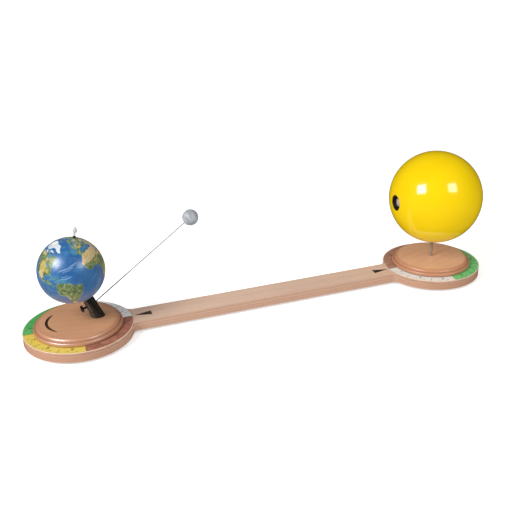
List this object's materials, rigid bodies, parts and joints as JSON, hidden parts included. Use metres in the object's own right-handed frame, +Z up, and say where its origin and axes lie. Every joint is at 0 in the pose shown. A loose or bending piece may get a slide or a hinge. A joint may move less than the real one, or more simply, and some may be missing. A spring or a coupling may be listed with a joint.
{
  "type": "tellurion",
  "caption": "Wooden tellurion: a swinging arm carries a tilted globe and its moon round a lamp sun, with season plates kept true by a hidden belt.",
  "frame": {"origin": "on the sun's upright axis at table level, in the middle of the foot pad's underside", "axes": "+X along the arm from the globe to the sun, +Z up, so the globe's turntable is at -X"},
  "size_m": [0.94, 0.2, 0.2619],
  "materials": {
    "rubber_pad": "matte, fine grain",
    "foot_steel": "satin zinc plating",
    "nylon": "natural nylon",
    "axle_steel": "turned steel",
    "rod_steel": "polished bright steel",
    "pulley_black": "moulded",
    "hub_metal": "turned",
    "screw_brass": "yellow plated",
    "screw_steel": "zinc plated",
    "season_plate_sun": "stained and printed plywood",
    "season_plate_earth": "stained and printed plywood",
    "disc_sun": "turned and lacquered beech",
    "disc_earth": "turned and lacquered beech",
    "board": "clear lacquered plywood",
    "cover": "thin plywood",
    "pointer_dark": "dark stained veneer",
    "belt": "round elastic belt",
    "felt": "felt",
    "post_black": "satin black",
    "moon": "mottled grey",
    "globe": "printed and lacquered map",
    "figure_white": "translucent white",
    "figure_black": "black",
    "sun_yellow": "glossy yellow",
    "lamp_black": "satin black",
    "lens": "clear",
    "reflector": "metallised",
    "led": "light source on its board",
    "cells": "wrapped round cells",
    "spring_steel": "nickel plated",
    "button_red": "moulded"
  },
  "bodies": {
    "base": {"foot_pad": "rubber_pad", "foot_plate": "foot_steel", "foot_washer": "nylon", "sun_axle": "axle_steel", "sun_pulley": "pulley_black", "sun_slip_washer": "nylon", "sun_hub": "hub_metal", "sun_hub_screws": "screw_brass", "sun_season_plate": "season_plate_sun", "sun_disc": "disc_sun"},
    "arm": {"arm_board": "board", "arm_cover": "cover", "cover_screws": "screw_brass", "cover_bush": "nylon", "sun_bush": "nylon", "earth_bush": "nylon", "drive_belt": "belt", "glide_pads": "felt", "date_pointers": "pointer_dark"},
    "earth_table": {"earth_axle": "axle_steel", "earth_pulley": "pulley_black", "pulley_screw": "screw_brass", "earth_slip_washer": "nylon", "earth_hub": "hub_metal", "earth_hub_screws": "screw_brass", "earth_season_plate": "season_plate_earth", "earth_disc": "disc_earth", "globe_post": "post_black", "post_screw": "screw_steel", "axis_pin": "axle_steel", "post_cap": "post_black"},
    "moon_arm": {"moon_collar": "post_black", "moon_wire": "rod_steel", "moon_ball": "moon"},
    "clamp": {"clamp_screw": "screw_steel", "clamp_knob": "post_black"},
    "globe": {"globe_north_half": "globe", "globe_south_half": "globe", "north_bush": "nylon", "south_bush": "nylon"},
    "figure": {"figure_foot": "figure_black", "figure_body": "figure_white"},
    "sun": {"sun_rod": "rod_steel", "sun_shell": "sun_yellow", "rod_grommet": "lamp_black", "rod_saddle": "lamp_black", "lamp_tube": "lamp_black", "lamp_bezel": "lamp_black", "lamp_lens": "lens", "lamp_reflector": "reflector", "lamp_led": "led", "battery_cells": "cells", "battery_spring": "spring_steel", "tail_switch": "lamp_black"},
    "button": {"lamp_button": "button_red"}
  },
  "joints": [
    {"name": "arm_swing", "type": "hinge", "parent": "base", "child": "arm", "pos_m": [0, 0, 0.014], "axis": [0, 0, 1], "continuous": true},
    {"name": "table_turn", "type": "hinge", "parent": "arm", "child": "earth_table", "pos_m": [-0.74, 0, 0.014], "axis": [0, 0, 1], "continuous": true},
    {"name": "globe_spin", "type": "hinge", "parent": "earth_table", "child": "globe", "pos_m": [-0.74, 0, 0.1348], "axis": [-0.3502, 0, 0.9367], "continuous": true},
    {"name": "moon_orbit", "type": "hinge", "parent": "earth_table", "child": "moon_arm", "pos_m": [-0.712, 0, 0.05992], "axis": [-0.3502, 0, 0.9367], "continuous": true},
    {"name": "clamp_turn", "type": "hinge", "parent": "moon_arm", "child": "clamp", "pos_m": [-0.712, 0, 0.05992], "axis": [-0.9261, 0.1495, -0.3463], "range_deg": [0, 720]},
    {"name": "sun_turn", "type": "hinge", "parent": "base", "child": "sun", "pos_m": [0, 0, 0.05], "axis": [0, 0, 1], "continuous": true},
    {"name": "button_press", "type": "slide", "parent": "sun", "child": "button", "axis": [-1, 0, 0], "range_m": [0, 0.0015], "stiffness_N_per_m": 600},
    {"name": "figure_lift", "type": "slide", "parent": "globe", "child": "figure", "axis": [0.2115, 0.0758, 0.9744], "range_m": [0, 0.03]}
  ],
  "couplings": [
    {"joint": "table_turn", "follows": "arm_swing", "ratio": -1}
  ]
}
